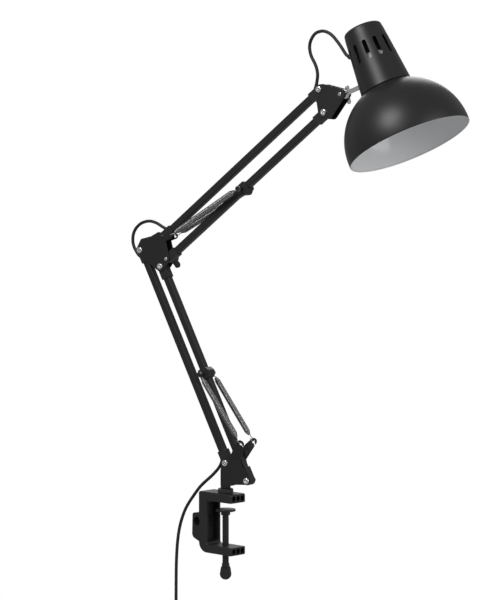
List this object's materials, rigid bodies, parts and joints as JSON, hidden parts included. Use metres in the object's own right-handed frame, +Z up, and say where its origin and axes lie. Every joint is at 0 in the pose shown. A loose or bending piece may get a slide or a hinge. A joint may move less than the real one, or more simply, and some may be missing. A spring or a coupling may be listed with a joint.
{
  "type": "desk lamp",
  "caption": "Spring-balanced parallel-arm desk lamp with a table clamp, a swivel base and a ventilated dome shade on a tilting stem.",
  "frame": {"origin": "on the base swivel's axis, at the underside of the clamp's upper jaw", "axes": "+Z up, +X out of the clamp's mouth; the arm stands in a plane turned 10 degrees from +X towards +Y"},
  "size_m": [0.503, 0.1649, 0.9615],
  "materials": {
    "black_paint": "satin",
    "shade_paint": "satin",
    "black_plastic": "matte",
    "bright_metal": "polished",
    "black_steel": "satin",
    "spring_steel": "satin",
    "white_plastic": "gloss",
    "contact_metal": "satin",
    "cord_black": "satin"
  },
  "bodies": {
    "clamp": {"clamp_frame": "black_plastic", "pivot_bush": "black_plastic"},
    "pad": {"clamp_pad": "black_steel"},
    "screw": {"clamp_spindle": "black_steel", "thumb_knob": "black_plastic"},
    "base": {"base_bracket": "black_paint", "base_post": "black_steel", "base_bolts": "bright_metal", "base_nuts": "bright_metal", "cord_tail": "cord_black", "cord_lower": "cord_black", "cord_coil": "cord_black", "coil_tie": "black_plastic", "inline_switch": "black_plastic", "plug": "black_plastic"},
    "lower_rear": {"lower_rear_tube": "black_paint", "lower_rear_ends": "black_plastic", "lower_lead": "cord_black"},
    "lower_front": {"lower_front_tube": "black_paint", "lower_front_ends": "black_plastic", "lower_spring_collar": "black_plastic", "lower_spring_pin": "bright_metal", "lower_spring_near": "spring_steel", "lower_spring_far": "spring_steel"},
    "elbow": {"elbow_plate_near": "black_paint", "elbow_plate_far": "black_paint", "elbow_bolts": "bright_metal", "elbow_nuts": "bright_metal", "elbow_spring_pin": "black_steel", "elbow_loop_lower": "cord_black", "elbow_loop_upper": "cord_black"},
    "elbow_grip": {"elbow_knob": "black_plastic"},
    "upper_top": {"upper_top_tube": "black_paint", "upper_top_ends": "black_plastic", "upper_lead": "cord_black"},
    "upper_bottom": {"upper_bottom_tube": "black_paint", "upper_bottom_ends": "black_plastic", "upper_spring_collar": "black_plastic", "upper_spring_pin": "bright_metal", "upper_spring_near": "spring_steel", "upper_spring_far": "spring_steel"},
    "head": {"head_plate_near": "black_paint", "head_plate_far": "black_paint", "head_bolts": "bright_metal", "head_nuts": "bright_metal", "head_pivot_bolt": "bright_metal", "head_washers": "black_plastic", "head_loop_rear": "cord_black", "head_loop_front": "cord_black"},
    "wing": {"wing_nut": "bright_metal"},
    "shade": {"head_stem": "bright_metal", "stem_nuts": "bright_metal", "neck_housing": "shade_paint", "shade_dome": "shade_paint", "lampholder_body": "white_plastic", "threaded_shell": "contact_metal", "centre_contact": "contact_metal", "shade_ring": "white_plastic", "cord_gland": "black_plastic"}
  },
  "joints": [
    {"name": "spindle_turn", "type": "hinge", "parent": "pad", "child": "screw", "pos_m": [0, 0, 0], "axis": [0, 0, 1], "range_deg": [-7290, 1620]},
    {"name": "pad_slide", "type": "slide", "parent": "clamp", "child": "pad", "axis": [0, 0, 1], "range_m": [-0.0405, 0.009]},
    {"name": "base_swivel", "type": "hinge", "parent": "clamp", "child": "base", "pos_m": [0, 0, 0], "axis": [0, 0, 1], "range_deg": [-170, 170]},
    {"name": "lower_arm_tilt", "type": "hinge", "parent": "base", "child": "lower_rear", "pos_m": [0.00394, 0.00069, 0.0525], "axis": [0.1736, -0.9848, 0], "range_deg": [-71.5, 11.5], "deforming": ["cord_tail", "elbow_loop_lower"]},
    {"name": "lower_front_tilt", "type": "hinge", "parent": "base", "child": "lower_front", "pos_m": [0.03742, 0.0066, 0.031], "axis": [0.1736, -0.9848, 0], "range_deg": [-71.5, 11.5], "deforming": ["lower_spring_near", "lower_spring_far"]},
    {"name": "elbow_level", "type": "hinge", "parent": "lower_rear", "child": "elbow", "pos_m": [-0.13448, -0.02371, 0.3344], "axis": [0.1736, -0.9848, 0], "range_deg": [-11.5, 71.5]},
    {"name": "elbow_knob_turn", "type": "hinge", "parent": "elbow", "child": "elbow_grip", "pos_m": [-0.09115, -0.01607, 0.3232], "axis": [0.1736, -0.9848, 0], "range_deg": [-180, 180]},
    {"name": "upper_arm_tilt", "type": "hinge", "parent": "elbow", "child": "upper_top", "pos_m": [-0.09834, -0.01734, 0.3528], "axis": [0.1736, -0.9848, 0], "range_deg": [-77.6, 37.4], "deforming": ["elbow_loop_upper", "head_loop_rear"]},
    {"name": "upper_bottom_tilt", "type": "hinge", "parent": "elbow", "child": "upper_bottom", "pos_m": [-0.09115, -0.01607, 0.3232], "axis": [0.1736, -0.9848, 0], "range_deg": [-77.6, 37.4], "deforming": ["upper_spring_near", "upper_spring_far"]},
    {"name": "head_level", "type": "hinge", "parent": "upper_top", "child": "head", "pos_m": [0.14744, 0.026, 0.545], "axis": [0.1736, -0.9848, 0], "range_deg": [-37.4, 77.6]},
    {"name": "wing_nut_turn", "type": "hinge", "parent": "head", "child": "wing", "pos_m": [0.17965, 0.03168, 0.5379], "axis": [0.1736, -0.9848, 0], "range_deg": [-180, 180]},
    {"name": "head_tilt", "type": "hinge", "parent": "head", "child": "shade", "pos_m": [0.17965, 0.03168, 0.5379], "axis": [0.1736, -0.9848, 0], "range_deg": [-50, 65], "deforming": ["head_loop_front"]}
  ],
  "couplings": [
    {"joint": "pad_slide", "follows": "spindle_turn", "m_per_rad": 0.00031831},
    {"joint": "lower_front_tilt", "follows": "lower_arm_tilt", "ratio": 1},
    {"joint": "elbow_level", "follows": "lower_arm_tilt", "ratio": -1},
    {"joint": "upper_bottom_tilt", "follows": "upper_arm_tilt", "ratio": 1},
    {"joint": "head_level", "follows": "upper_arm_tilt", "ratio": -1}
  ]
}
